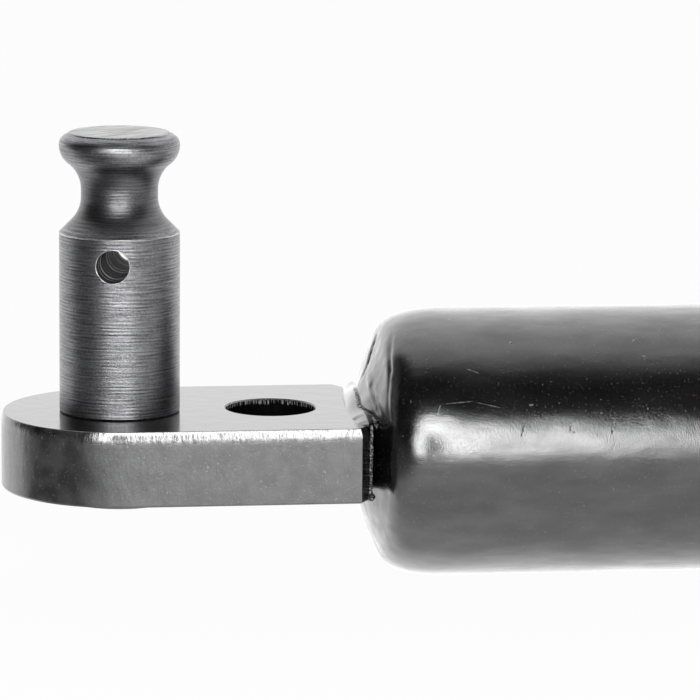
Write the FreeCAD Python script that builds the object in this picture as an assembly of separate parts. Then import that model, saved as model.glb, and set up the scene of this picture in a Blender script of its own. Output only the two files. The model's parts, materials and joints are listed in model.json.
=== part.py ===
"""A gas spring with a welded lug and a riveted stud at its cylinder end and a flat eye at its rod end.

Millimetres. +Z runs up the stud and +X along the strut, from the stud to the rod's eye. The origin is on the
stud's axis, on the face of the lug that the stud stands on. The spring is drawn fully extended.
"""

import FreeCAD
import Part

import math
import os

# Driving sizes of the whole spring
tube_diameter = 18.0
tube_wall = 1.25
rod_diameter = 8.0
stroke = 150.0

# Lug: a blank of flat steel, round at its free end, welded across the closed end of the tube
lug_thickness = 5.0
lug_width = 15.75
lug_hole_diameter = 6.0
lug_hole_pitch = 10.1
lug_length = 15.9
lug_corner_length = 0.6
lug_corner_width = 1.0
lug_edge_break = 0.25

# Stud: turned from bar, riveted through the lug, with a waist and a hole for a retaining clip
stud_diameter = 8.0
stud_straight = 12.0
stud_neck_radius = 2.55
stud_neck_straight = 0.5
stud_waist_arc = 2.2
stud_head_seat_radius = 3.3
stud_head_lower_bulge = 0.19
stud_head_widest = 17.75
stud_head_upper_bulge = 0.2
stud_height = 18.65
stud_face_radius = 3.3
stud_face_edge = 0.1
stud_shank_diameter = 5.5
stud_rivet_diameter = 8.2
stud_rivet_height = 1.0
stud_rivet_flat_radius = 3.5
stud_rivet_widest = 0.45
stud_rivet_draft = 0.1
stud_rivet_bulge = 0.19
clip_hole_diameter = 2.2
clip_hole_height = 10.25
clip_hole_mouth_angle = 11.1
clip_hole_drill_angle = 14.3
clip_hole_rise = 1.5

# Closed end of the tube: a flat middle, a shallow cone, a tight corner and a gentle entry into the wall
end_flat_radius = 3.8
end_cone_angle = 20.7
end_corner_radius = 2.5
end_entry_radius = 5.5
end_entry_turn = 20.0
end_thickness = 2.0
end_inner_radius = 2.0

# Weld beads between the lug and the tube's end, over and under the lug
over_bead_length = 14.0
over_bead_radius = 1.0
under_bead_length = 8.0
under_bead_radius = 0.8
bead_offset = 0.5

# Piston end of the rod, from the front of the package to the rivet head
front_washer_thickness = 1.5
piston_length = 7.0
orifice_disc_thickness = 0.5
rivet_washer_thickness = 1.5
rod_rivet_height = 1.5
rod_rivet_flat_radius = 1.5
rod_rivet_overlap = 0.9
rod_rivet_bulge = 0.55
rod_spigot_diameter = 5.0
rod_shoulder_edge = 0.3
rod_thread_edge = 0.8
front_washer_room = 0.6
orifice_disc_room = 1.6
piston_play = 0.15
piston_groove_depth = 2.0
piston_groove_width = 3.0
piston_rear_flange = 2.2
piston_edge = 0.3
ring_width = 2.0
ring_floor_gap = 0.25
ring_edge = 0.3
ring_clearance = 0.02
bypass_slots = 6
bypass_slot_width = 1.6
bypass_slot_depth = 0.7
orifice_diameter = 0.8
orifice_circle_radius = 4.3

# Rod end of the tube: two rolled beads and a lip hold the seal and the guide
end_clearance = 3.0
rolled_bead_depth = 0.9
rolled_bead_half_length = 1.7
lip_outer_radius = 2.2
lip_opening_radius = 6.3
support_ring_thickness = 2.5
support_ring_ports = 6
support_ring_port_diameter = 1.6
support_ring_rod_gap = 0.5
seal_length = 5.0
seal_lip_depth = 2.6
seal_lip_land = 0.8
seal_tip_inset = 0.35
seal_tip_width = 0.55
seal_groove_half = 0.5
seal_relief = 0.4
seal_relief_lead = 0.6
seal_core_thickness = 1.2
seal_core_inward = 0.8
seal_core_outward = 1.2
seal_washer_rod_gap = 0.15
seal_washer_thickness = 1.5
guide_length = 12.0
guide_bush_wall = 0.6
guide_bush_length = 7.5
guide_rod_gap = 0.2
hold_groove_room = 0.1
hold_groove_lead = 0.4
o_ring_section = 1.3
o_ring_groove_width = 1.8
o_ring_groove_offset = 1.2
wiper_depth = 2.6
wiper_collar = 0.9
wiper_radius = 5.9
wiper_edge = 0.3
wiper_collar_step = 0.3
wiper_collar_taper = 0.5

# Eye screwed on the rod
rod_free_length = 4.0
eye_shank_diameter = 12.0
eye_shank_length = 13.0
eye_thread_depth = 12.0
eye_thread_diameter = 7.9
eye_drill_run_out = 0.5
eye_drill_point = 1.5
eye_neck_length = 4.0
eye_blade_thickness = 5.0
eye_blade_width = 16.0
eye_bore_diameter = 8.1
eye_centre_offset = 25.0
eye_edge_break = 0.6

# Clearances
running_gap = 0.02
seat_gap = 0.02
package_gap = 0.05
spigot_gap = 0.04

# Places that follow from the sizes above
axis_z = -lug_thickness / 2
tube_radius = tube_diameter / 2
bore_radius = tube_radius - tube_wall
rod_radius = rod_diameter / 2
tube_start = lug_length
chamber_start = tube_start + end_thickness
package_length = (front_washer_thickness + piston_length + orifice_disc_thickness
                  + rivet_washer_thickness + rod_rivet_height)
piston_front = chamber_start + end_inner_radius + end_clearance + package_length + stroke
stop_bead_centre = piston_front + rolled_bead_half_length
support_ring_start = stop_bead_centre + rolled_bead_half_length
seal_start = support_ring_start + support_ring_thickness
seal_washer_start = seal_start + seal_length
guide_start = seal_washer_start + seal_washer_thickness
guide_end = guide_start + guide_length
hold_bead_centre = guide_start + guide_length / 2
tube_end = guide_end + tube_wall
eye_start = tube_end + wiper_collar + rod_free_length + stroke
eye_centre = eye_start + eye_centre_offset

PARTS = "parts"
STRUT_AXIS = FreeCAD.Vector(1, 0, 0)
ACROSS = FreeCAD.Vector(0, 1, 0)
UP = FreeCAD.Vector(0, 0, 1)
ORIGIN = FreeCAD.Vector(0, 0, 0)


def section(place, start, steps):
    """A closed flat face. place turns two numbers into a point. A step is a point, or an arc's middle and end."""
    edges = []
    here = start
    for step in steps:
        if isinstance(step[0], tuple):
            through, there = step
            edges.append(Part.Arc(place(*here), place(*through), place(*there)).toShape())
        else:
            there = step
            edges.append(Part.makeLine(place(*here), place(*there)))
        here = there
    if here != start:
        edges.append(Part.makeLine(place(*here), place(*start)))
    return Part.Face(Part.Wire(edges))


def turned(start, *steps):
    """A solid of revolution about the strut's axis. Points are (distance along the strut, radius)."""
    face = section(lambda x, r: FreeCAD.Vector(x, 0, r), start, steps)
    solid = face.revolve(ORIGIN, STRUT_AXIS, 360)
    solid.translate(FreeCAD.Vector(0, 0, axis_z))
    return solid


def ring(x0, x1, inner, outer):
    """A plain ring about the strut's axis."""
    return turned((x0, inner), (x1, inner), (x1, outer), (x0, outer))


def rod_along_strut(x0, x1, radius, y, z):
    """A cylinder parallel to the strut, with its centre at y and z from the strut's axis."""
    return Part.makeCylinder(radius, x1 - x0, FreeCAD.Vector(x0, y, axis_z + z), STRUT_AXIS)


def around(count, radius):
    """Evenly spaced places (y, z, angle in degrees) on a circle about the strut's axis."""
    for k in range(count):
        angle = 360.0 * k / count
        turn = math.radians(angle)
        yield radius * math.sin(turn), radius * math.cos(turn), angle


def arc_middle(centre, radius, angle):
    """The point at an angle, in degrees, on a circle in the plane of a section."""
    turn = math.radians(angle)
    return centre[0] + radius * math.cos(turn), centre[1] + radius * math.sin(turn)


def bulged(start, end, bulge):
    """The middle of an arc from start to end that stands off its chord by bulge, to the right of the way."""
    run = end[0] - start[0]
    rise = end[1] - start[1]
    chord = math.hypot(run, rise)
    return (start[0] + end[0]) / 2 + bulge * rise / chord, (start[1] + end[1]) / 2 - bulge * run / chord


def rolled_bead(centre, radius):
    """Steps along a rolled bead in a wall of that radius: a hollow arc between two shoulder arcs, all alike."""
    half = rolled_bead_half_length
    depth = rolled_bead_depth
    sweep = 2 * math.atan2(depth, half)
    arc = half / (2 * math.sin(sweep))
    lean = math.sin(sweep / 2) * arc
    drop = arc * (1 - math.cos(sweep / 2))
    return [
        ((centre - half + lean, radius - drop), (centre - half / 2, radius - depth / 2)),
        ((centre, radius - depth), (centre + half / 2, radius - depth / 2)),
        ((centre + half - lean, radius - drop), (centre + half, radius)),
    ]


def backwards(start, steps):
    """The same arcs walked the other way, to end at start."""
    ends = [start] + [end for _, end in steps]
    return [(steps[k][0], ends[k]) for k in reversed(range(len(steps)))]


def closed_end_outline():
    """Steps along the outside of the closed end, from the edge of its flat to the start of the straight wall."""
    cone = math.radians(end_cone_angle)
    entry_turn = math.radians(end_entry_turn)
    lead = end_entry_radius - end_corner_radius
    corner_r = tube_radius - end_entry_radius + lead * math.cos(entry_turn)
    foot_r = corner_r + end_corner_radius * math.sin(cone)
    foot = (tube_start + (foot_r - end_flat_radius) * math.tan(cone), foot_r)
    corner_centre = (foot[0] + end_corner_radius * math.cos(cone), corner_r)
    entry_centre = (corner_centre[0] + lead * math.sin(entry_turn), tube_radius - end_entry_radius)
    meeting = 90.0 + end_entry_turn
    corner_middle = arc_middle(corner_centre, end_corner_radius, (180.0 - end_cone_angle + meeting) / 2)
    entry_middle = arc_middle(entry_centre, end_entry_radius, 90.0 + end_entry_turn / 2)
    return [
        (tube_start, end_flat_radius),
        foot,
        (corner_middle, arc_middle(corner_centre, end_corner_radius, meeting)),
        (entry_middle, (entry_centre[0], tube_radius)),
    ]


def tube_blank():
    """The outside of the tube as one solid, used to shape what is welded against it."""
    return turned((tube_start, 0), *closed_end_outline(), (tube_end, tube_radius), (tube_end, 0))


def pressure_tube():
    inner_corner = (chamber_start + end_inner_radius, bore_radius - end_inner_radius)
    stop_in = (stop_bead_centre - rolled_bead_half_length, bore_radius)
    hold_in = (hold_bead_centre - rolled_bead_half_length, bore_radius)
    lip_centre = (tube_end - lip_outer_radius, tube_radius - lip_outer_radius)
    lip_inner = lip_outer_radius - tube_wall
    steps = closed_end_outline()
    steps += [(stop_in[0], tube_radius)] + rolled_bead(stop_bead_centre, tube_radius)
    steps += [(hold_in[0], tube_radius)] + rolled_bead(hold_bead_centre, tube_radius)
    steps += [
        (lip_centre[0], tube_radius),
        (arc_middle(lip_centre, lip_outer_radius, 45), (tube_end, lip_centre[1])),
        (tube_end, lip_opening_radius),
        (guide_end, lip_opening_radius),
        (guide_end, lip_centre[1]),
        (arc_middle(lip_centre, lip_inner, 45), (lip_centre[0], bore_radius)),
        (hold_bead_centre + rolled_bead_half_length, bore_radius),
    ]
    steps += backwards(hold_in, rolled_bead(hold_bead_centre, bore_radius))
    steps += [(stop_bead_centre + rolled_bead_half_length, bore_radius)]
    steps += backwards(stop_in, rolled_bead(stop_bead_centre, bore_radius))
    steps += [
        (inner_corner[0], bore_radius),
        (arc_middle(inner_corner, end_inner_radius, 135), (chamber_start, inner_corner[1])),
        (chamber_start, 0),
    ]
    return turned((tube_start, 0), *steps)


def lug_blank():
    """The lug without its holes: half round about the stud's axis, straight sides, cut corners at the weld."""
    half = lug_width / 2
    corner_start = lug_length - lug_corner_length
    end_half = half - lug_corner_width
    steps = [
        (corner_start, -half),
        (lug_length, -end_half),
        (lug_length, end_half),
        (corner_start, half),
        (0, half),
        ((-half, 0), (0, -half)),
    ]
    outline = section(lambda x, y: FreeCAD.Vector(x, y, 0), (0, -half), steps)
    return outline.extrude(-UP * lug_thickness)


def lug_plate():
    plate = lug_blank()
    rims = [e for e in plate.Edges
            if e.BoundBox.ZLength < 1e-6 and e.BoundBox.XMin < lug_length - lug_corner_length - 1e-6]
    plate = plate.makeFillet(lug_edge_break, rims)
    down = -UP
    bolt_hole = Part.makeCylinder(lug_hole_diameter / 2, lug_thickness,
                                  FreeCAD.Vector(lug_hole_pitch, 0, 0), down)
    rivet_hole = Part.makeCylinder(stud_shank_diameter / 2 + seat_gap, lug_thickness, ORIGIN, down)
    return plate.cut(bolt_hole).cut(rivet_hole)


def weld_bead(level, outward, length, radius):
    """A round-ended bar trimmed by the lug and the tube's end. Of what is left, the outward side is the bead."""
    half = length / 2 - radius
    ends = [FreeCAD.Vector(lug_length + bead_offset, y, level) for y in (-half, half)]
    bar = Part.makeCylinder(radius, 2 * half, ends[0], ACROSS)
    bar = bar.fuse([Part.makeSphere(radius, end) for end in ends]).removeSplitter()
    trimmed = bar.cut(tube_blank()).cut(lug_blank())
    return Part.makeCompound([s for s in trimmed.Solids if (s.CenterOfMass.z - level) * outward > 0])


def weld_over():
    return weld_bead(0, 1, over_bead_length, over_bead_radius)


def weld_under():
    return weld_bead(-lug_thickness, -1, under_bead_length, under_bead_radius)


def stud_pin():
    radius = stud_diameter / 2
    waist = stud_waist_arc
    neck = stud_neck_radius
    flank = waist * math.sqrt(0.5)
    flank_top_radius = neck + waist - flank
    flank_rise = radius - flank_top_radius
    neck_start = stud_straight + flank_rise + flank
    neck_end = neck_start + stud_neck_straight
    upper = math.acos(1 - (stud_head_seat_radius - neck) / waist)
    half_upper = upper / 2
    tail = -lug_thickness - stud_rivet_height
    rivet_flat = (stud_rivet_flat_radius, tail)
    rivet_wide = (stud_rivet_diameter / 2, tail + (1 - stud_rivet_widest) * stud_rivet_height)
    head_seat = (stud_head_seat_radius, neck_end + waist * math.sin(upper))
    head_wide = (radius, stud_head_widest)
    head_top = (stud_face_radius + stud_face_edge, stud_height - stud_face_edge)
    steps = [
        rivet_flat,
        (bulged(rivet_flat, rivet_wide, stud_rivet_bulge), rivet_wide),
        (stud_rivet_diameter / 2 - stud_rivet_draft, -lug_thickness),
        (stud_shank_diameter / 2, -lug_thickness),
        (stud_shank_diameter / 2, 0),
        (radius, 0),
        (radius, stud_straight),
        (flank_top_radius, stud_straight + flank_rise),
        ((neck + waist * (1 - math.cos(math.pi / 8)), neck_start - waist * math.sin(math.pi / 8)),
         (neck, neck_start)),
        (neck, neck_end),
        ((neck + waist * (1 - math.cos(half_upper)), neck_end + waist * math.sin(half_upper)), head_seat),
        (bulged(head_seat, head_wide, stud_head_lower_bulge), head_wide),
        (bulged(head_wide, head_top, stud_head_upper_bulge), head_top),
        (stud_face_radius, stud_height),
        (0, stud_height),
    ]
    face = section(lambda r, z: FreeCAD.Vector(r, 0, z), (0, tail), steps)
    return face.revolve(ORIGIN, UP, 360).cut(clip_drill())


def clip_drill():
    """The clip hole's drill. It goes in at the mouth angle, slants to the drill angle and rises to the back."""
    mouth = math.radians(clip_hole_mouth_angle)
    turn = math.radians(clip_hole_drill_angle)
    rise = math.radians(clip_hole_rise)
    radius = stud_diameter / 2
    entry = FreeCAD.Vector(-radius * math.sin(mouth), -radius * math.cos(mouth), clip_hole_height)
    inward = FreeCAD.Vector(math.sin(turn) * math.cos(rise), math.cos(turn) * math.cos(rise), math.sin(rise))
    return Part.makeCylinder(clip_hole_diameter / 2, 2 * stud_diameter, entry - inward * radius, inward)


def piston_places():
    """Where each piece of the piston package starts, from the rod's shoulder back to its rivet head."""
    washer = piston_front - front_washer_thickness
    piston_start = washer - piston_length
    disc = piston_start - orifice_disc_thickness
    rear = disc - rivet_washer_thickness
    return washer, piston_start, disc, rear


def front_washer():
    washer, _, _, _ = piston_places()
    return ring(washer, piston_front, rod_spigot_diameter / 2 + spigot_gap, bore_radius - front_washer_room)


def piston():
    """A disc with a groove for its ring, slots through the rear flange and one fine orifice."""
    _, start, _, _ = piston_places()
    outer = bore_radius - piston_play
    groove = outer - piston_groove_depth
    groove_start = start + piston_rear_flange
    groove_end = groove_start + piston_groove_width
    end = start + piston_length
    edge = piston_edge
    body = turned((start, rod_spigot_diameter / 2 + spigot_gap), (end, rod_spigot_diameter / 2 + spigot_gap),
                  (end, outer - edge), (end - edge, outer), (groove_end, outer), (groove_end, groove),
                  (groove_start, groove), (groove_start, outer), (start + edge, outer), (start, outer - edge))
    for _, _, angle in around(bypass_slots, outer):
        slot = Part.makeBox(piston_rear_flange, bypass_slot_width, bypass_slot_depth * 2,
                            FreeCAD.Vector(start, -bypass_slot_width / 2, axis_z + outer - bypass_slot_depth))
        slot.rotate(FreeCAD.Vector(0, 0, axis_z), STRUT_AXIS, angle)
        body = body.cut(slot)
    return body.cut(rod_along_strut(start, end, orifice_diameter / 2, 0, orifice_circle_radius))


def piston_ring():
    _, start, _, _ = piston_places()
    middle = start + piston_rear_flange + piston_groove_width / 2
    inner = bore_radius - piston_play - piston_groove_depth + ring_floor_gap
    outer = bore_radius - ring_clearance
    edge = ring_edge
    x0 = middle - ring_width / 2
    x1 = middle + ring_width / 2
    return turned((x0, inner), (x1, inner), (x1, outer - edge), (x1 - edge, outer), (x0 + edge, outer),
                  (x0, outer - edge))


def orifice_disc():
    _, start, disc, _ = piston_places()
    plate = ring(disc, start, rod_spigot_diameter / 2 + spigot_gap, bore_radius - orifice_disc_room)
    return plate.cut(rod_along_strut(disc, start, orifice_diameter / 2, 0, orifice_circle_radius))


def rivet_washer():
    _, _, disc, rear = piston_places()
    return ring(rear, disc, rod_spigot_diameter / 2 + seat_gap, orifice_circle_radius - orifice_diameter)


def piston_rod():
    """The rod with its spigot riveted over behind the piston and its thread, drawn plain, in the eye."""
    _, _, _, rear = piston_places()
    spigot = rod_spigot_diameter / 2
    thread = eye_thread_diameter / 2
    rod_end = eye_start + eye_thread_depth
    shoulder = rod_shoulder_edge
    edge = rod_thread_edge
    tail = (rear - rod_rivet_height, rod_rivet_flat_radius)
    rim = (rear, spigot + rod_rivet_overlap)
    return turned((tail[0], 0), tail, (bulged(rim, tail, rod_rivet_bulge), rim), (rear, spigot),
                  (piston_front, spigot), (piston_front, rod_radius - shoulder),
                  (piston_front + shoulder, rod_radius), (eye_start, rod_radius), (eye_start, thread),
                  (rod_end - edge, thread), (rod_end, thread - edge), (rod_end, 0))


def support_ring():
    """The ring that keeps the seal from the stop bead, with ports that let the gas press on the seal."""
    inner = rod_radius + support_ring_rod_gap
    outer = bore_radius - package_gap
    x0 = support_ring_start
    x1 = seal_start
    body = turned((x0, inner), (x1, inner), (x1, outer), (x0, outer))
    for y, z, _ in around(support_ring_ports, (inner + outer) / 2):
        body = body.cut(rod_along_strut(x0, x1, support_ring_port_diameter / 2, y, z))
    return body


def rod_seal():
    """A rubber ring with one lip on the rod and one on the tube's wall, spread by the gas behind them."""
    x0 = seal_start
    x1 = seal_washer_start
    lip_root = x0 + seal_lip_depth
    land = x0 + seal_lip_land
    middle = (rod_radius + bore_radius) / 2
    core = x1 - seal_core_thickness
    inner = rod_radius + running_gap
    outer = bore_radius - seat_gap
    inner_tip = rod_radius + seal_tip_inset
    outer_tip = bore_radius - seal_tip_inset
    relief = inner + seal_relief
    return turned((x1, relief), (lip_root + seal_relief_lead, relief), (land, inner), (x0, inner_tip),
                  (x0, inner_tip + seal_tip_width), (lip_root, middle - seal_groove_half),
                  (lip_root, middle + seal_groove_half), (x0, outer_tip - seal_tip_width), (x0, outer_tip),
                  (land, outer), (x1, outer), (x1, middle + seal_core_outward),
                  (core, middle + seal_core_outward), (core, middle - seal_core_inward),
                  (x1, middle - seal_core_inward))


def seal_core():
    """The steel stiffener that lies in the back of the seal."""
    middle = (rod_radius + bore_radius) / 2
    x1 = seal_washer_start
    return ring(x1 - seal_core_thickness, x1, middle - seal_core_inward, middle + seal_core_outward)


def seal_washer():
    return ring(seal_washer_start, guide_start, rod_radius + seal_washer_rod_gap, bore_radius - package_gap)


def guide_places():
    """The O-ring groove's start, the bush's end and the wiper's seat in the guide."""
    groove = guide_start + o_ring_groove_offset
    bush_end = guide_start + guide_bush_length
    wiper = guide_end - wiper_depth
    return groove, bush_end, wiper


def rod_guide():
    """A turned ring: bush seat inside, wiper seat at its mouth, O-ring groove and holding groove outside."""
    groove, bush_end, wiper = guide_places()
    outer = bore_radius - seat_gap
    seat = rod_radius + running_gap + guide_bush_wall + seat_gap
    o_ring_floor = bore_radius - o_ring_section - seat_gap
    hold = hold_bead_centre
    half = rolled_bead_half_length + hold_groove_room
    floor_half = half - hold_groove_lead
    hold_floor = bore_radius - rolled_bead_depth - hold_groove_room
    corner = lip_outer_radius - tube_wall + hold_groove_room
    clear = rod_radius + guide_rod_gap
    return turned((guide_start, seat), (bush_end, seat), (bush_end, clear), (wiper, clear),
                  (wiper, wiper_radius + seat_gap), (guide_end, wiper_radius + seat_gap),
                  (guide_end, outer - corner), (guide_end - corner, outer), (hold + half, outer),
                  (hold + floor_half, hold_floor), (hold - floor_half, hold_floor), (hold - half, outer),
                  (groove + o_ring_groove_width, outer), (groove + o_ring_groove_width, o_ring_floor),
                  (groove, o_ring_floor), (groove, outer), (guide_start, outer))


def guide_bush():
    _, bush_end, _ = guide_places()
    inner = rod_radius + running_gap
    return ring(guide_start, bush_end, inner, inner + guide_bush_wall)


def tube_o_ring():
    groove, _, _ = guide_places()
    section_radius = o_ring_section / 2
    centre = FreeCAD.Vector(groove + o_ring_groove_width / 2, 0, axis_z)
    middle_radius = bore_radius - section_radius - seat_gap / 2
    return Part.makeTorus(middle_radius, section_radius - seat_gap / 4, centre, STRUT_AXIS)


def wiper_ring():
    """The plastic ring in the mouth of the guide, with a collar that stands out of the tube."""
    _, _, wiper = guide_places()
    inner = rod_radius + running_gap
    end = tube_end + wiper_collar
    edge = wiper_edge
    collar = wiper_radius - wiper_collar_step
    taper = wiper_collar_taper
    return turned((wiper, inner), (end - edge, inner), (end, inner + edge), (end, collar - taper),
                  (end - taper, collar), (guide_end, collar), (guide_end, wiper_radius), (wiper, wiper_radius))


def rod_eye():
    """A round shank, drilled for the rod's thread, that runs out into a flat blade with a cross bore."""
    shank = eye_shank_diameter / 2
    half_width = eye_blade_width / 2
    half_blade = eye_blade_thickness / 2
    neck_end = eye_start + eye_shank_length + eye_neck_length
    far = eye_centre + half_width
    edge = eye_edge_break
    bar = turned((eye_start, 0), (eye_start, shank - edge), (eye_start + edge, shank),
                 (eye_start + eye_shank_length, shank), (neck_end, half_width), (far, half_width), (far, 0))
    outline = section(lambda x, y: FreeCAD.Vector(x, y, axis_z - half_width), (eye_start, -half_width),
                      [(eye_centre, -half_width), ((far, 0), (eye_centre, half_width)), (eye_start, half_width)])
    body = bar.common(outline.extrude(UP * eye_blade_width))
    flank_start = eye_start + eye_shank_length
    for side in (1, -1):
        flank = section(lambda x, z: FreeCAD.Vector(x, -half_width, axis_z + side * z),
                        (flank_start, half_width + 1),
                        [(flank_start, shank), (neck_end, half_blade), (far + 1, half_blade),
                         (far + 1, half_width + 1)])
        body = body.cut(flank.extrude(FreeCAD.Vector(0, eye_blade_width, 0)))
    drill_radius = eye_thread_diameter / 2 + seat_gap
    drill_end = eye_start + eye_thread_depth + eye_drill_run_out
    drill = turned((eye_start, 0), (eye_start, drill_radius), (drill_end, drill_radius),
                   (drill_end + eye_drill_point, 0))
    bore = Part.makeCylinder(eye_bore_diameter / 2, eye_blade_width,
                             FreeCAD.Vector(eye_centre, 0, axis_z - half_width), UP)
    return body.cut(drill).cut(bore)


NODES = {
    "pressure_tube": pressure_tube,
    "lug_plate": lug_plate,
    "weld_over": weld_over,
    "weld_under": weld_under,
    "stud_pin": stud_pin,
    "support_ring": support_ring,
    "rod_seal": rod_seal,
    "seal_core": seal_core,
    "seal_washer": seal_washer,
    "rod_guide": rod_guide,
    "guide_bush": guide_bush,
    "tube_o_ring": tube_o_ring,
    "wiper_ring": wiper_ring,
    "front_washer": front_washer,
    "piston": piston,
    "piston_ring": piston_ring,
    "orifice_disc": orifice_disc,
    "rivet_washer": rivet_washer,
    "piston_rod": piston_rod,
    "rod_eye": rod_eye,
}


def main():
    os.makedirs(PARTS, exist_ok=True)
    for name, make in NODES.items():
        shape = make()
        solids = shape.Solids
        good = all(s.isValid() and s.Volume > 0 for s in solids)
        print(f"{name}: {len(solids)} solid(s), {shape.Volume:.2f} mm3, valid {good}")
        shape.exportStep(os.path.join(PARTS, name + ".step"))


main()
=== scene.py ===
import json
import math

import bpy
from mathutils import Matrix, Vector, noise


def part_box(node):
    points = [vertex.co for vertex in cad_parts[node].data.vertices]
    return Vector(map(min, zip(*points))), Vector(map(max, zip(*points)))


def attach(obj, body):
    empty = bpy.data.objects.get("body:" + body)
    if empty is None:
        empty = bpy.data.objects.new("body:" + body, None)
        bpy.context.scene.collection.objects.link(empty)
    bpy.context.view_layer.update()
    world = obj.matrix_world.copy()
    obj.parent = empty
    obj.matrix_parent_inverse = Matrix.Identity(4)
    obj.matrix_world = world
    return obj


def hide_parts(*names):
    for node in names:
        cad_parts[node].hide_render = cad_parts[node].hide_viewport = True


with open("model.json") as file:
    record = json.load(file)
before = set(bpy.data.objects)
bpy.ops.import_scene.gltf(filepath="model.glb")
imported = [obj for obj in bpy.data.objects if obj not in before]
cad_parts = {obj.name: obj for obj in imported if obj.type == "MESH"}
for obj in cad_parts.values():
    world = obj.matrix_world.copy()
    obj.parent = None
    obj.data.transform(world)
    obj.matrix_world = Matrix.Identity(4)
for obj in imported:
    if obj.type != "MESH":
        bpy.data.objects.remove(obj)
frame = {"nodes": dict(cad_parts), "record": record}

# Without a seed, noise.noise_vector takes its offsets from the clock
noise.seed_set(6)

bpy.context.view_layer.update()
MM = 0.001
ALONG = Vector((1, 0, 0))
ACROSS = Vector((0, 1, 0))
UP = Vector((0, 0, 1))


def box(node):
    """The lower and upper corner of a node of the frame, in millimetres."""
    return [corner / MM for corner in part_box(node)]


# Places and sizes read from the frame
TUBE_LOW, TUBE_HIGH = box("pressure_tube")
LUG_LOW, LUG_HIGH = box("lug_plate")
STUD_LOW, STUD_HIGH = box("stud_pin")
GUIDE_LOW, GUIDE_HIGH = box("rod_guide")
WIPER_LOW, WIPER_HIGH = box("wiper_ring")
ROD_LOW, ROD_HIGH = box("piston_rod")
EYE_LOW, EYE_HIGH = box("rod_eye")
PISTON_FRONT = box("front_washer")[1].x
RIVET_SEAT = box("rivet_washer")[0].x

AXIS_Z = (TUBE_LOW.z + TUBE_HIGH.z) / 2
TUBE_RADIUS = (TUBE_HIGH.z - TUBE_LOW.z) / 2
TUBE_WALL = 1.25
BORE_RADIUS = TUBE_RADIUS - TUBE_WALL
ROD_RADIUS = 4.0
LUG_HALF_WIDTH = LUG_HIGH.y
LUG_THICKNESS = LUG_HIGH.z - LUG_LOW.z

# Closed end of the tube
END_FLAT_RADIUS = 3.8
END_CONE_ANGLE = 20.7
END_CORNER_RADIUS = 2.5
END_ENTRY_RADIUS = 5.5
END_ENTRY_TURN = 20.0
END_THICKNESS = 2.0
END_INNER_RADIUS = 2.0
EASE_START = math.radians(14)
EASE_END = math.radians(27)
LEAD_IN = 14.0
LEAD_IN_TURN = math.radians(11)

# Rod end of the tube
BEAD_HALF_LENGTH = 1.7
BEAD_DEPTH = 0.9
LIP_RADIUS = 2.2
LIP_OPENING_RADIUS = 6.3

# Lug
LUG_CORNER_LENGTH = 0.6
LUG_CORNER_WIDTH = 1.0
BAND_DEPTH = 0.56
BOLT_HOLE_X = 10.1
BOLT_HOLE_RADIUS = 3.0
RIVET_HOLE_RADIUS = 2.77

# Stud
STUD_RADIUS = 4.0
SHOULDER_HEIGHT = 12.0
NECK_RADIUS = 2.55
NECK_STRAIGHT = 0.5
WAIST_ARC = 2.2
HEAD_SEAT_RADIUS = 3.3
CLIP_HOLE_RADIUS = 1.1
CLIP_MOUTH_TURN = math.radians(11.1)
CLIP_DRILL_TURN = math.radians(14.3)
CLIP_DRILL_RISE = math.radians(1.5)
CLIP_HEIGHT = 10.25
CLIP_MOUTH = Vector((-STUD_RADIUS * math.sin(CLIP_MOUTH_TURN), -STUD_RADIUS * math.cos(CLIP_MOUTH_TURN),
                     CLIP_HEIGHT))
CLIP_INWARD = Vector((math.sin(CLIP_DRILL_TURN) * math.cos(CLIP_DRILL_RISE),
                      math.cos(CLIP_DRILL_TURN) * math.cos(CLIP_DRILL_RISE), math.sin(CLIP_DRILL_RISE)))

# Eye on the rod
EYE_SHANK_RADIUS = 6.0
EYE_SHANK_LENGTH = 13.0
EYE_NECK_LENGTH = 4.0
EYE_HALF_WIDTH = 8.0
EYE_HALF_BLADE = 2.5
EYE_BORE_RADIUS = 4.05
EYE_DRILL_RADIUS = 3.97
EYE_DRILL_DEPTH = 12.5
EYE_CHAMFER = 0.6
EYE_EDGE = 0.35
EYE_TOOL_REACH = 9.0

# Rod
SPIGOT_RADIUS = 2.5
THREAD_PITCH = 1.25
THREAD_CREST = 3.95
THREAD_ROOT = 3.3

# Photograph's camera: where it looks, how it is turned and its lens on a 36 mm sensor
LOOK_AT = Vector((15.434, 0.0, 3.804))
CAMERA_AZIMUTH = math.radians(7.309)
CAMERA_ELEVATION = math.radians(10.393)
CAMERA_ROLL = math.radians(0.483)
CAMERA_DISTANCE = 293.527
SENSOR = 36.0
LENS = 4386.32 / 700 * SENSOR


def colour(code):
    """A linear RGBA colour from an sRGB hex value such as 0x1A1A1A."""
    parts = [(code >> shift & 255) / 255 for shift in (16, 8, 0)]
    return [c / 12.92 if c <= 0.04045 else ((c + 0.055) / 1.055) ** 2.4 for c in parts] + [1.0]


def add(tree, kind, inputs=None, **settings):
    """Adds a shader node. A setting is a property, and an input is a value or the socket that feeds it."""
    made = tree.nodes.new("ShaderNode" + kind)
    for name, value in settings.items():
        setattr(made, name, value)
    for name, value in (inputs or {}).items():
        if isinstance(value, bpy.types.NodeSocket):
            tree.links.new(value, made.inputs[name])
        else:
            made.inputs[name].default_value = value
    return made


# Camera


def seen_from(azimuth, elevation):
    """The direction to a place that far round to the left of the front and that far up, in radians."""
    return Vector((-math.sin(azimuth) * math.cos(elevation), -math.cos(azimuth) * math.cos(elevation),
                   math.sin(elevation)))


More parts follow.
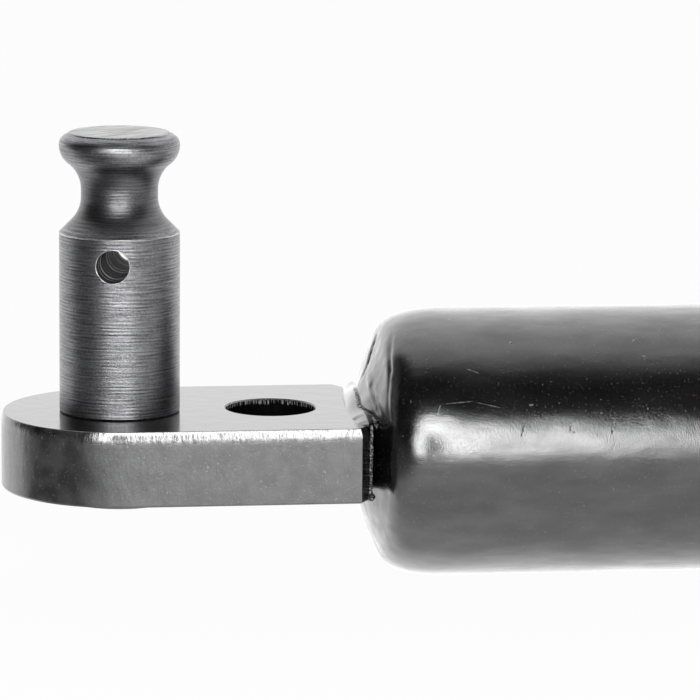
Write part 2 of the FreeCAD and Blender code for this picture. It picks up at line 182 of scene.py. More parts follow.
def camera_axes():
    """Directions to the right, up and back of the photograph's camera."""
    back = seen_from(CAMERA_AZIMUTH, CAMERA_ELEVATION)
    level = Vector((math.cos(CAMERA_AZIMUTH), -math.sin(CAMERA_AZIMUTH), 0))
    rise = back.cross(level)
    right = math.cos(CAMERA_ROLL) * level + math.sin(CAMERA_ROLL) * rise
    return right, back.cross(right), back


def make_camera():
    right, up, back = camera_axes()
    bpy.ops.object.camera_add()
    camera = bpy.context.object
    turn = Matrix((right, up, back)).transposed().to_4x4()
    camera.matrix_world = Matrix.Translation((LOOK_AT + back * CAMERA_DISTANCE) * MM) @ turn
    camera.data.sensor_width = SENSOR
    camera.data.lens = LENS
    camera.data.clip_start = 10 * MM
    camera.data.clip_end = 100
    bpy.context.scene.camera = camera


# Studio

WHITE = 1.0
REFLECTED_LEVEL = 1.4
ROOM_LEVEL = 0.75
DARK_LEVEL = 0.012
# Dark parts of the room: degrees left of the camera, degrees up, fully dark within, bright again beyond
DARK_PARTS = ((0, 10, 54, 90), (60, 13, 50, 64), (-35, 10, 40, 70))
BEHIND_GAIN = 0.4
FLOOR_SIZE = 60.0
FLOOR_GAP = 0.02
FLOOR_DIM_LEVEL = 0.22
# The floor's dim part: left of where it turns bright along X, and in front of an edge that leans back
DIM_BELOW = -18.0
BRIGHT_FROM = 9.0
DIM_FRONT = -7.0
BRIGHT_BEHIND = -3.0
EDGE_LEAN = 0.3
GLOW_SHARE = 0.96
RING_INNER = 36.0
RING_RAMP = 28.0
RING_FULL = 92.0
RING_OUTER = 132.0
RING_STRENGTH = 14.5
RING_DROP = 15.0


def make_world():
    """Bright all round, with a wide dark room behind the camera; the camera itself sees plain white."""
    world = bpy.data.worlds.new("studio")
    bpy.context.scene.world = world
    world.use_nodes = True
    tree = world.node_tree
    tree.nodes.clear()
    place = add(tree, "TexCoord").outputs["Generated"]
    dark = 0.0
    for left, rise, full, end in DARK_PARTS:
        axis = seen_from(CAMERA_AZIMUTH + math.radians(left), math.radians(rise))
        toward = add(tree, "VectorMath", {0: place, 1: axis}, operation="DOT_PRODUCT").outputs["Value"]
        part = between(tree, toward, math.cos(math.radians(end)), math.cos(math.radians(full)))
        dark = sums(tree, "MAXIMUM", dark, part)
    path = add(tree, "LightPath")
    behind = between(tree, add(tree, "SeparateXYZ", {"Vector": place}).outputs["Y"], 0.0, 0.9)
    backdrop = sums(tree, "ADD", REFLECTED_LEVEL, sums(tree, "MULTIPLY", behind, BEHIND_GAIN))
    level = add(tree, "Mix", {"Factor": path.outputs["Is Glossy Ray"], "A": ROOM_LEVEL, "B": backdrop})
    lit = add(tree, "Mix", {"Factor": dark, "A": level.outputs["Result"], "B": DARK_LEVEL})
    seen = add(tree, "Mix", {"Factor": path.outputs["Is Camera Ray"], "A": lit.outputs["Result"], "B": WHITE})
    background = add(tree, "Background", {"Color": (1, 1, 1, 1), "Strength": seen.outputs["Result"]})
    output = add(tree, "OutputWorld")
    tree.links.new(background.outputs["Background"], output.inputs["Surface"])


def make_floor():
    """A white floor under the tube. It stays white to the camera, keeps a soft shadow and is dimmer at the
    front left, which shows only in what it lights."""
    bpy.ops.mesh.primitive_plane_add(size=FLOOR_SIZE, location=(0, 0, (TUBE_LOW.z - FLOOR_GAP) * MM))
    floor = bpy.context.object
    floor.name = "floor"
    material = bpy.data.materials.new("white_floor")
    material.use_nodes = True
    tree = material.node_tree
    tree.nodes.clear()
    path = add(tree, "LightPath")
    paint = add(tree, "BsdfDiffuse", {"Color": colour(0xEDEDED)})
    place = add(tree, "SeparateXYZ", {"Vector": add(tree, "TexCoord").outputs["Object"]})
    right = between(tree, place.outputs["X"], DIM_BELOW * MM, BRIGHT_FROM * MM)
    lean = sums(tree, "MULTIPLY", sums(tree, "MINIMUM", place.outputs["X"], 0.0), EDGE_LEAN)
    behind = between(tree, sums(tree, "ADD", place.outputs["Y"], lean), DIM_FRONT * MM, BRIGHT_BEHIND * MM)
    bright = sums(tree, "MAXIMUM", right, behind)
    backdrop = sums(tree, "ADD", REFLECTED_LEVEL, sums(tree, "MULTIPLY", behind, BEHIND_GAIN))
    glossy = add(tree, "Mix", {"Factor": bright, "A": FLOOR_DIM_LEVEL, "B": backdrop})
    level = add(tree, "Mix", {"Factor": path.outputs["Is Glossy Ray"], "A": WHITE,
                              "B": glossy.outputs["Result"]})
    glow = add(tree, "Emission", {"Color": (1, 1, 1, 1), "Strength": level.outputs["Result"]})
    direct = sums(tree, "MAXIMUM", path.outputs["Is Camera Ray"], path.outputs["Is Glossy Ray"])
    share = sums(tree, "MULTIPLY", direct, GLOW_SHARE)
    both = add(tree, "MixShader", {0: share, 1: paint.outputs["BSDF"], 2: glow.outputs["Emission"]})
    output = add(tree, "OutputMaterial")
    tree.links.new(both.outputs["Shader"], output.inputs["Surface"])
    floor.data.materials.append(material)


def make_ring_light():
    """A ring lamp round the lens, a little low, that fades out at both rims. It shows only in what it
    lights."""
    right, up, back = camera_axes()
    centre = (LOOK_AT + back * CAMERA_DISTANCE - up * RING_DROP) * MM
    bpy.ops.mesh.primitive_circle_add(vertices=64, radius=RING_OUTER * MM, fill_type="NGON")
    ring = bpy.context.object
    ring.name = "ring_light"
    bpy.ops.object.mode_set(mode="EDIT")
    bpy.ops.mesh.inset(thickness=(RING_OUTER - RING_INNER) * MM)
    bpy.ops.mesh.delete(type="FACE")
    bpy.ops.object.mode_set(mode="OBJECT")
    ring.matrix_world = Matrix.Translation(centre) @ Matrix((right, up, back)).transposed().to_4x4()
    material = bpy.data.materials.new("ring_glow")
    material.use_nodes = True
    tree = material.node_tree
    tree.nodes.clear()
    place = add(tree, "TexCoord").outputs["Object"]
    reach = add(tree, "VectorMath", {0: place}, operation="LENGTH").outputs["Value"]
    fade = sums(tree, "MULTIPLY", between(tree, reach, RING_OUTER * MM, RING_FULL * MM),
                between(tree, reach, RING_INNER * MM, (RING_INNER + RING_RAMP) * MM))
    strength = sums(tree, "MULTIPLY", fade, RING_STRENGTH)
    glow = add(tree, "Emission", {"Color": (1, 1, 1, 1), "Strength": strength})
    output = add(tree, "OutputMaterial")
    tree.links.new(glow.outputs["Emission"], output.inputs["Surface"])
    ring.data.materials.append(material)
    ring.visible_camera = False
    ring.visible_shadow = False


# Ways of working

MERGE_DISTANCE = 0.002


def select_only(piece):
    bpy.ops.object.select_all(action="DESELECT")
    piece.select_set(True)
    bpy.context.view_layer.objects.active = piece


def outline(name, points):
    """A line of edges through points in millimetres, drawn by extruding one vertex."""
    bpy.ops.object.select_all(action="DESELECT")
    bpy.ops.mesh.primitive_plane_add(size=MM, location=points[0] * MM)
    piece = bpy.context.object
    piece.name = name
    bpy.ops.object.mode_set(mode="EDIT")
    bpy.ops.mesh.select_mode(type="VERT")
    bpy.ops.mesh.merge(type="CENTER")
    for here, there in zip(points, points[1:]):
        bpy.ops.mesh.extrude_region_move(TRANSFORM_OT_translate={"value": (there - here) * MM})
    bpy.ops.object.mode_set(mode="OBJECT")
    bpy.ops.object.transform_apply(location=True, rotation=True, scale=True)
    return piece


def close_mesh(piece):
    """Merges doubled vertices and turns all faces outward."""
    select_only(piece)
    bpy.ops.object.mode_set(mode="EDIT")
    bpy.ops.mesh.select_all(action="SELECT")
    bpy.ops.mesh.remove_doubles(threshold=MERGE_DISTANCE * MM)
    bpy.ops.mesh.normals_make_consistent(inside=False)
    bpy.ops.object.mode_set(mode="OBJECT")


def spun(name, points, axis, centre, steps):
    """A turned piece: the outline spun once round."""
    piece = outline(name, points)
    bpy.ops.object.mode_set(mode="EDIT")
    bpy.ops.mesh.select_all(action="SELECT")
    bpy.ops.mesh.spin(steps=steps, angle=2 * math.pi, center=centre * MM, axis=axis)
    bpy.ops.object.mode_set(mode="OBJECT")
    close_mesh(piece)
    return piece


def spun_along(name, stations, steps=128):
    """A piece turned about the strut's axis. A station is (distance along the strut, radius)."""
    points = [Vector((x, 0, AXIS_Z + r)) for x, r in stations]
    return spun(name, points, ALONG, Vector((0, 0, AXIS_Z)), steps)


def filled(name, points):
    """A flat face inside a closed outline."""
    piece = outline(name, points)
    bpy.ops.object.mode_set(mode="EDIT")
    bpy.ops.mesh.select_all(action="SELECT")
    bpy.ops.mesh.remove_doubles(threshold=MERGE_DISTANCE * MM)
    bpy.ops.mesh.edge_face_add()
    bpy.ops.object.mode_set(mode="OBJECT")
    return piece


def prism(name, points, depth):
    """A flat outline pulled out to a block."""
    piece = filled(name, points)
    bpy.ops.object.mode_set(mode="EDIT")
    bpy.ops.mesh.select_all(action="SELECT")
    bpy.ops.mesh.extrude_region_move(TRANSFORM_OT_translate={"value": depth * MM})
    bpy.ops.object.mode_set(mode="OBJECT")
    close_mesh(piece)
    return piece


def cylinder(name, radius, length, middle, direction, vertices=96):
    """A plain cylinder about its middle, to cut with."""
    bpy.ops.object.select_all(action="DESELECT")
    bpy.ops.mesh.primitive_cylinder_add(vertices=vertices, radius=radius * MM, depth=length * MM,
                                        location=middle * MM,
                                        rotation=direction.to_track_quat("Z", "Y").to_euler())
    bpy.context.object.name = name
    bpy.ops.object.transform_apply(location=True, rotation=True, scale=True)
    return bpy.context.object


def arc(centre, radius, start, end, count):
    """Points on an arc from start to end in degrees, both ends included."""
    turns = [math.radians(start + (end - start) * k / count) for k in range(count + 1)]
    return [(centre[0] + radius * math.cos(t), centre[1] + radius * math.sin(t)) for t in turns]


def straight(start, end, count):
    """Points between start and end, without the start."""
    return [(start[0] + (end[0] - start[0]) * k / count, start[1] + (end[1] - start[1]) * k / count)
            for k in range(1, count + 1)]


def shape_with(piece, tool, operation="DIFFERENCE"):
    """Cuts the tool's shape out of the piece, or keeps what both share, and removes the tool."""
    select_only(piece)
    bpy.ops.object.modifier_add(type="BOOLEAN")
    modifier = piece.modifiers[-1]
    modifier.operation = operation
    modifier.object = tool
    modifier.material_mode = "TRANSFER"
    bpy.ops.object.modifier_apply(modifier=modifier.name)
    bpy.data.objects.remove(tool)


def bevel(piece, width, segments, angle):
    """Rounds the edges that are sharper than angle, in degrees."""
    select_only(piece)
    bpy.ops.object.modifier_add(type="BEVEL")
    modifier = piece.modifiers[-1]
    modifier.width = width * MM
    modifier.segments = segments
    modifier.limit_method = "ANGLE"
    modifier.angle_limit = math.radians(angle)
    bpy.ops.object.modifier_apply(modifier=modifier.name)


def join(piece, *others):
    select_only(piece)
    for other in others:
        other.select_set(True)
    bpy.ops.object.join()


def move_points(piece, shift):
    """Moves every vertex by what shift gives for its place, both in millimetres."""
    for vertex in piece.data.vertices:
        vertex.co += shift(vertex.co / MM) * MM


def coat(piece, *materials):
    """Gives a piece these materials in place of its own."""
    piece.data.materials.clear()
    for material in materials:
        piece.data.materials.append(material)


def hand_over(piece, body, node, smooth_angle=32):
    """Gives a finished piece its shading and its body, and hides the node that it stands for."""
    select_only(piece)
    bpy.ops.object.shade_smooth_by_angle(angle=math.radians(smooth_angle))
    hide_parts(node)
    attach(piece, body)


# Materials


def new_finish(name):
    """A new material with its tree, its shader and the place on the object that its patterns follow."""
    material = bpy.data.materials.new(name)
    material.use_nodes = True
    tree = material.node_tree
    place = add(tree, "TexCoord").outputs["Object"]
    return material, tree, tree.nodes["Principled BSDF"], place


def grain(tree, place, size, detail=2.0, stretch=(1, 1, 1), turn=0.0):
    """Noise whose spots are about size millimetres, drawn out along an axis where stretch is over 1.
    The axes are turned about the vertical by turn degrees."""
    turned = add(tree, "Mapping", {"Vector": place, "Rotation": (0, 0, -math.radians(turn))})
    spread = add(tree, "Mapping", {"Vector": turned.outputs["Vector"],
                                   "Scale": [1 / (size * MM * s) for s in stretch]})
    spots = add(tree, "TexNoise", {"Vector": spread.outputs["Vector"], "Scale": 1.0, "Detail": detail})
    return spots.outputs["Fac"]


def between(tree, value, low, high):
    """0 at low, 1 at high and soft between."""
    return add(tree, "MapRange", {"Value": value, "From Min": low, "From Max": high},
               interpolation_type="SMOOTHSTEP").outputs["Result"]


def sums(tree, operation, first, second):
    """One sum of two values or sockets."""
    return add(tree, "Math", {0: first, 1: second}, operation=operation).outputs["Value"]


def blend(tree, share, low, high):
    """A colour between low and high."""
    return add(tree, "Mix", {"Factor": share, "A": low, "B": high}, data_type="RGBA").outputs["Result"]


def dented(tree, height, depth, under=None):
    """A bump of depth millimetres laid on the one under it."""
    inputs = {"Height": height, "Distance": depth * MM, "Strength": 1.0}
    if under is not None:
        inputs["Normal"] = under
    return add(tree, "Bump", inputs).outputs["Normal"]


def nick_mask(tree, place, middle, turn, length, width):
    """1 on a short mark at middle, which runs along the X axis of turn, and 0 beyond it."""
    own = add(tree, "Mapping", {"Vector": place, "Location": middle * MM, "Rotation": turn.to_euler("XYZ"),
                                "Scale": (length / 2 * MM, width / 2 * MM, 1.5 * MM)}, vector_type="TEXTURE")
    reach = add(tree, "VectorMath", {0: own.outputs["Vector"]}, operation="LENGTH").outputs["Value"]
    return between(tree, reach, 1.0, 0.6)


# Marks on the tube: distance along the strut, angle up from the front, lean along the wall, length and width
TUBE_NICKS = ((21.84, 75.6, 12, 0.6, 0.09), (25.5, 57.5, 60, 0.45, 0.09), (25.55, 56.0, -40, 0.4, 0.08),
              (33.8, 57.8, 50, 0.75, 0.12), (26.4, 26.1, 10, 0.3, 0.14), (25.8, 16.5, 75, 1.3, 0.16),
              (28.95, 16.5, 80, 0.7, 0.12), (31.8, 16.5, 75, 1.1, 0.2), (29.2, 14.4, 0, 0.16, 0.16),
              (22.9, 41.5, -25, 0.5, 0.05), (22.5, 42.5, -25, 0.35, 0.05), (34.3, 48.0, -30, 0.5, 0.06),
              (20.3, 25.0, 70, 0.9, 0.05), (21.6, 27.6, 4, 2.2, 0.04), (23.6, 26.3, -14, 1.8, 0.04))


def tube_nicks(tree, place):
    """1 on each mark of the tube and 0 beside them."""
    masks = []
    for x, angle, lean, length, width in TUBE_NICKS:
        up = math.radians(angle)
        middle = Vector((x, -TUBE_RADIUS * math.cos(up), AXIS_Z + TUBE_RADIUS * math.sin(up)))
        turn = Matrix.Rotation(math.pi / 2 - up, 3, "X") @ Matrix.Rotation(math.radians(lean), 3, "Z")
        masks.append(nick_mask(tree, place, middle, turn, length, width))
    most = masks[0]
    for mask in masks[1:]:
        most = sums(tree, "MAXIMUM", most, mask)
    return most


def tube_enamel():
    """Black stoving enamel: deep gloss over steel, with orange peel, dust nibs and a few nicks."""
    material, tree, shader, place = new_finish("black_stoving_enamel")
    normal = dented(tree, grain(tree, place, 2.2, 3.0, (2, 1, 1)), 0.045)
    normal = dented(tree, grain(tree, place, 0.08, 3.0), 0.01, normal)
    cells = add(tree, "TexVoronoi", {"Vector": place, "Scale": 1 / (1.9 * MM)})
    normal = dented(tree, between(tree, cells.outputs["Distance"], 0.05, 0.02), 0.02, normal)
    cloud = grain(tree, place, 1.3, 4.0, (2.5, 1, 1))
    wiped = add(tree, "MapRange", {"Value": cloud, "From Min": 0.35, "From Max": 0.65, "To Min": 0.8,
                                   "To Max": 1.0})
    tree.links.new(wiped.outputs["Result"], shader.inputs["Coat Weight"])
    nicks = tube_nicks(tree, place)
    rough = grain(tree, place, 0.12, 2.0)
    normal = dented(tree, sums(tree, "MULTIPLY", nicks, rough), -0.12, normal)
    tree.links.new(normal, shader.inputs["Normal"])
    tree.links.new(normal, shader.inputs["Coat Normal"])
    scuffed = sums(tree, "MULTIPLY", nicks, between(tree, rough, 0.4, 0.6))
    dust = between(tree, grain(tree, place, 0.1, 2.0), 0.68, 0.74)
    paint = blend(tree, between(tree, cloud, 0.3, 0.7), colour(0x060607), colour(0x121213))
    paint = blend(tree, dust, paint, colour(0x5A5A5A))
    tree.links.new(blend(tree, scuffed, paint, colour(0x8E8E8E)), shader.inputs["Base Color"])
    shader.inputs["Roughness"].default_value = 0.36
    shader.inputs["Specular IOR Level"].default_value = 0.08
    shader.inputs["Coat Roughness"].default_value = 0.14
    shader.inputs["Coat IOR"].default_value = 1.85
    return material


def plate_enamel():
    """The same enamel on the lug's rolled faces: flatter and a little cloudy."""
    material, tree, shader, place = new_finish("enamel_on_rolled_steel")
    normal = dented(tree, grain(tree, place, 1.4, 3.0), 0.012)
    normal = dented(tree, grain(tree, place, 0.15, 3.0), 0.002, normal)
    tree.links.new(normal, shader.inputs["Normal"])
    tree.links.new(normal, shader.inputs["Coat Normal"])
    shader.inputs["Base Color"].default_value = colour(0x131314)
    shader.inputs["Roughness"].default_value = 0.16
    shader.inputs["IOR"].default_value = 1.5
    shader.inputs["Coat Weight"].default_value = 0.1
    shader.inputs["Coat Roughness"].default_value = 0.1
    shader.inputs["Coat IOR"].default_value = 1.6
    return material


def sheared_enamel():
    """Enamel on the lug's sheared wall: upright drag lines near the top and torn steel showing through
    below."""
    material, tree, shader, place = new_finish("enamel_on_sheared_steel")
    height = add(tree, "SeparateXYZ", {"Vector": place}).outputs["Z"]
    drag = grain(tree, place, 0.15, 2.0, (1, 1, 14))
    top = between(tree, height, -0.95 * MM, -0.5 * MM)
    normal = dented(tree, grain(tree, place, 0.8, 4.0, (1, 1, 2)), 0.03)
    normal = dented(tree, sums(tree, "MULTIPLY", drag, top), 0.014, normal)
    pits = sums(tree, "MULTIPLY", grain(tree, place, 0.13, 3.0), sums(tree, "SUBTRACT", 1.0, top))
    normal = dented(tree, pits, 0.008, normal)
    tree.links.new(normal, shader.inputs["Normal"])
    speck = between(tree, grain(tree, place, 0.15, 2.0), 0.66, 0.7)
    cloud = between(tree, grain(tree, place, 1.3, 5.0), 0.35, 0.65)
    paint = blend(tree, cloud, colour(0x060607), colour(0x2C2C2C))
    tree.links.new(blend(tree, speck, paint, colour(0x585858)), shader.inputs["Base Color"])
    rough = add(tree, "MapRange", {"Value": top, "To Min": 0.3, "To Max": 0.21})
    tree.links.new(rough.outputs["Result"], shader.inputs["Roughness"])
    shader.inputs["IOR"].default_value = 2.0
    return material


def pierced_enamel():
    """Enamel in the lug's punched hole: black and glossy over upright scores, with a painted highlight that
    lightens the scores near the top of the hole."""
    material, tree, shader, place = new_finish("enamel_on_punched_wall")
    scores = grain(tree, place, 0.12, 2.0, (1, 1, 9))
    tree.links.new(dented(tree, scores, 0.07), shader.inputs["Normal"])
    at = add(tree, "SeparateXYZ", {"Vector": place}).outputs
    # painted highlight: the colour of the scores is lightened near the top of the hole's wall
    top = sums(tree, "MULTIPLY", between(tree, at["Z"], -0.9 * MM, -0.25 * MM),
               between(tree, at["X"], 14.5 * MM, 14 * MM))
    tree.links.new(blend(tree, between(tree, sums(tree, "ADD", scores, top), 1.46, 1.62), colour(0x070708),
                         colour(0x808080)), shader.inputs["Base Color"])
    shader.inputs["Roughness"].default_value = 0.16
    shader.inputs["IOR"].default_value = 1.6
    return material


def torn_enamel():
    """Thin enamel over the torn edge at the weld: black with bright crumbs of steel."""
    material, tree, shader, place = new_finish("thin_enamel_on_torn_steel")
    crumbs = grain(tree, place, 0.11, 3.0)
    tree.links.new(dented(tree, crumbs, 0.03), shader.inputs["Normal"])
    tree.links.new(blend(tree, between(tree, crumbs, 0.54, 0.62), colour(0x0C0C0C), colour(0x8C8C8C)),
                   shader.inputs["Base Color"])
    shader.inputs["Roughness"].default_value = 0.5
    return material


def weld_enamel():
    """Enamel pooled over weld metal: smooth swells, with a rough crease where the bead meets the tube."""
    material, tree, shader, place = new_finish("enamel_on_weld")
    ahead = add(tree, "SeparateXYZ", {"Vector": place})
    sideways = add(tree, "VectorMath", {0: place, 1: (0, 1, 1)}, operation="MULTIPLY").outputs["Vector"]
    from_axis = add(tree, "VectorMath", {0: sideways, 1: (0, 0, AXIS_Z * MM)}, operation="SUBTRACT")
    radius = add(tree, "VectorMath", {0: from_axis.outputs["Vector"]}, operation="LENGTH").outputs["Value"]
    past_flat = sums(tree, "MAXIMUM", sums(tree, "SUBTRACT", radius, END_FLAT_RADIUS * MM), 0.0)
    cone = sums(tree, "MULTIPLY", past_flat, math.tan(math.radians(END_CONE_ANGLE)))
    gap = sums(tree, "SUBTRACT", sums(tree, "ADD", cone, TUBE_LOW.x * MM), ahead.outputs["X"])
    far = sums(tree, "MAXIMUM", sums(tree, "ADD", ahead.outputs["Y"], 4.5 * MM), 0.0)
    crease = between(tree, sums(tree, "ADD", gap, sums(tree, "MULTIPLY", far, 0.07)), 0.5 * MM, 0.34 * MM)
    crumbs = grain(tree, place, 0.17, 3.0)
    normal = dented(tree, grain(tree, place, 1.6, 2.0), 0.008)
    normal = dented(tree, sums(tree, "MULTIPLY", crumbs, crease), 0.12, normal)
    tree.links.new(normal, shader.inputs["Normal"])
    tree.links.new(normal, shader.inputs["Coat Normal"])
    speck = sums(tree, "MULTIPLY", crease, between(tree, crumbs, 0.52, 0.58))
    tree.links.new(blend(tree, speck, colour(0x0B0B0C), colour(0xD0D0D0)), shader.inputs["Base Color"])
    bare = sums(tree, "MULTIPLY", crease, 0.95)
    tree.links.new(sums(tree, "SUBTRACT", 1.0, bare), shader.inputs["Coat Weight"])
    shader.inputs["Roughness"].default_value = 0.4
    shader.inputs["Specular IOR Level"].default_value = 0.05
    shader.inputs["Coat Roughness"].default_value = 0.12
    shader.inputs["Coat IOR"].default_value = 1.48
    return material


def turned_steel():
    """Free-cutting steel, turned and oiled dark: fine rings from the tool, brighter on the faced top, with
    painted shade that darkens the waist.
    """
    material, tree, shader, place = new_finish("turned_dark_steel")
    height = add(tree, "SeparateXYZ", {"Vector": place}).outputs["Z"]
    level = sums(tree, "MULTIPLY", height, 2 * math.pi / (0.23 * MM))
    wave = add(tree, "Math", {0: level}, operation="SINE").outputs["Value"]
    broken = sums(tree, "MULTIPLY", wave, between(tree, grain(tree, place, 0.6, 2.0, (5, 5, 1)), 0.35, 0.62))
    streaks = grain(tree, place, 0.075, 3.0, (22, 22, 1))
    spots = grain(tree, place, 0.13, 4.0)
    waist = sums(tree, "MULTIPLY", between(tree, height, 12.1 * MM, 12.8 * MM),
                 between(tree, height, 16.9 * MM, 16.2 * MM))
    marked = sums(tree, "SUBTRACT", 1.0, sums(tree, "MULTIPLY", waist, 0.45))
    normal = dented(tree, broken, 0.003)
    normal = dented(tree, sums(tree, "MULTIPLY", streaks, marked), 0.006, normal)
    normal = dented(tree, sums(tree, "MULTIPLY", spots, marked), 0.008, normal)
    facing = grain(tree, place, 0.1, 3.0, (30, 1, 30), 38)
    top = between(tree, height, 18.55 * MM, 18.62 * MM)
    normal = dented(tree, sums(tree, "MULTIPLY", facing, top), 0.02, normal)
    tree.links.new(normal, shader.inputs["Normal"])
    worn = sums(tree, "ADD", sums(tree, "MULTIPLY", streaks, 0.65), sums(tree, "MULTIPLY", spots, 0.4))
    worn = sums(tree, "ADD", worn, sums(tree, "MULTIPLY", broken, 0.07))
    lines = between(tree, worn, 0.3, 0.78)
    wall = blend(tree, lines, colour(0x4E4E51), colour(0x8E8E90))
    # painted shade: the waist's colour is darker than the wall's, which dims its sheen in the groove
    dark = blend(tree, waist, wall, blend(tree, lines, colour(0x4A4A4C), colour(0x6A6A6C)))
    bright = blend(tree, between(tree, facing, 0.38, 0.62), colour(0x424244), colour(0xA2A2A2))
    tree.links.new(blend(tree, top, dark, bright), shader.inputs["Base Color"])
    shader.inputs["Metallic"].default_value = 1.0
    shader.inputs["Roughness"].default_value = 0.41
    return material


def drilled_steel():
    """The wall of the cross hole: coarse rings left by the drill, under a dark film that is dull at any
    slant."""
    material, tree, shader, place = new_finish("drilled_dark_steel")
    depth = add(tree, "VectorMath", {0: place, 1: CLIP_INWARD / MM}, operation="DOT_PRODUCT").outputs["Value"]
    bands = add(tree, "TexNoise", {"W": sums(tree, "MULTIPLY", depth, 1.7), "Scale": 1.0, "Detail": 3.0},
                noise_dimensions="1D").outputs["Fac"]
    tree.links.new(dented(tree, bands, 0.12), shader.inputs["Normal"])
    tree.links.new(blend(tree, between(tree, bands, 0.5, 0.68), colour(0x303032), colour(0xC4C4C6)),
                   shader.inputs["Base Color"])
    shader.inputs["Roughness"].default_value = 0.6
    shader.inputs["IOR"].default_value = 1.1
    return material


def plain_metal(name, code, roughness):
    """Bare metal with a faint cloud in its tone."""
    material, tree, shader, place = new_finish(name)
    cloud = grain(tree, place, 2.0, 3.0)
    dark = [c * 0.8 for c in colour(code)[:3]] + [1.0]
    tree.links.new(blend(tree, cloud, dark, colour(code)), shader.inputs["Base Color"])
    tree.links.new(dented(tree, cloud, 0.003), shader.inputs["Normal"])
    shader.inputs["Metallic"].default_value = 1.0
    shader.inputs["Roughness"].default_value = roughness
    return material


def plain_polymer(name, code, roughness):
    """Moulded plastic or rubber with a fine mould grain."""
    material, tree, shader, place = new_finish(name)
    tree.links.new(dented(tree, grain(tree, place, 0.15, 3.0), 0.004), shader.inputs["Normal"])
    shader.inputs["Base Color"].default_value = colour(code)
    shader.inputs["Roughness"].default_value = roughness
    return material


# Tube

END_STEPS = 48


def closed_end():
    """Stations of the tube's closed end, from its middle to the straight wall.
    From the cone to the wall the bend eases from its tight corner into the wide entry, which is widest
    where it meets the wall."""
    cone = math.radians(END_CONE_ANGLE)
    lead = END_ENTRY_RADIUS - END_CORNER_RADIUS
    corner_r = TUBE_RADIUS - END_ENTRY_RADIUS + lead * math.cos(math.radians(END_ENTRY_TURN))
    foot_r = corner_r + END_CORNER_RADIUS * math.sin(cone)
    flat_edge = (TUBE_LOW.x, END_FLAT_RADIUS)
    foot = (TUBE_LOW.x + (foot_r - END_FLAT_RADIUS) * math.tan(cone), foot_r)
    step = (math.pi / 2 - cone) / END_STEPS
    turns = [step * (END_STEPS - 0.5 - k) for k in range(END_STEPS)]
    eased = [min(max((t - EASE_START) / (EASE_END - EASE_START), 0), 1) for t in turns]
    tight = [e * e * (3 - 2 * e) for e in eased]
    wide = [END_ENTRY_RADIUS + LEAD_IN * max(1 - t / LEAD_IN_TURN, 0) for t in turns]
    wide_rise = sum((1 - share) * radius * math.sin(t) * step for share, radius, t in zip(tight, wide, turns))
    tight_rise = sum(share * math.sin(t) * step for share, t in zip(tight, turns))
    tight_radius = (TUBE_RADIUS - foot_r - wide_rise) / tight_rise
    stations = [(TUBE_LOW.x, 0)] + straight((TUBE_LOW.x, 0), flat_edge, 18) + straight(flat_edge, foot, 18)
    for share, radius, t in zip(tight, wide, turns):
        run = step * (radius + (tight_radius - radius) * share)
        x, r = stations[-1]
        stations.append((x + run * math.cos(t), r + run * math.sin(t)))
    return stations


def rolled_bead(middle, radius, count=14):
    """Stations across a rolled bead, from its start to its end."""
    steps = [k / count * 2 - 1 for k in range(count + 1)]
    return [(middle + BEAD_HALF_LENGTH * t, radius - BEAD_DEPTH * (0.5 + 0.5 * math.cos(math.pi * t)))
            for t in steps]


def along_segment(point, start, end):
    """How far a point lies from a segment, and how far along it from 0 to 1."""
    run = end - start
    share = min(max((point - start).dot(run) / run.length_squared, 0), 1)
    return (point - start - run * share).length, share


# Folds that the spinning left in the closed end, each with its depth and half width
END_FOLDS = ((Vector((17.18, 0.12, 4.64)), Vector((16.3, -0.6, 2.3)), 0.22, 0.2),
             (Vector((16.5, -3.1, 1.9)), Vector((17.0, -6.15, 0.0)), 0.16, 0.22),
             (Vector((17.86, -2.66, 5.24)), Vector((17.47, -5.1, 3.3)), 0.1, 0.2),
             (Vector((17.47, -5.1, 3.3)), Vector((17.19, -6.78, 0.0)), 0.06, 0.17),
             (Vector((16.3, -1.6, 2.6)), Vector((16.5, -4.6, 0.9)), -0.1, 0.3))


# The end is uneven up to here along the strut and fades over this length before. Its inside is even
UNEVEN_TO = 19.5
UNEVEN_FADE = 2.5
INSIDE_FROM = 17.85


def end_unevenness(point):
    """How far the closed end stands off its true shape."""
    inside = point.x > INSIDE_FROM and math.hypot(point.y, point.z - AXIS_Z) < BORE_RADIUS + 0.1
    if point.x > UNEVEN_TO or inside:
        return Vector((0, 0, 0))
    fade = min(1, (UNEVEN_TO - point.x) / UNEVEN_FADE)
    wave = 0.07 * noise.noise(point * 0.55 + Vector((4, 1, 7))) + 0.02 * noise.noise(point * 1.7)
    shift = ALONG * wave * fade
    for start, end, depth, half_width in END_FOLDS:
        distance, share = along_segment(point, start, end)
        swell = 0.6 + 0.4 * math.sin(math.pi * share)
        shift += ALONG * depth * math.exp(-(distance / half_width) ** 2) * swell
    return shift


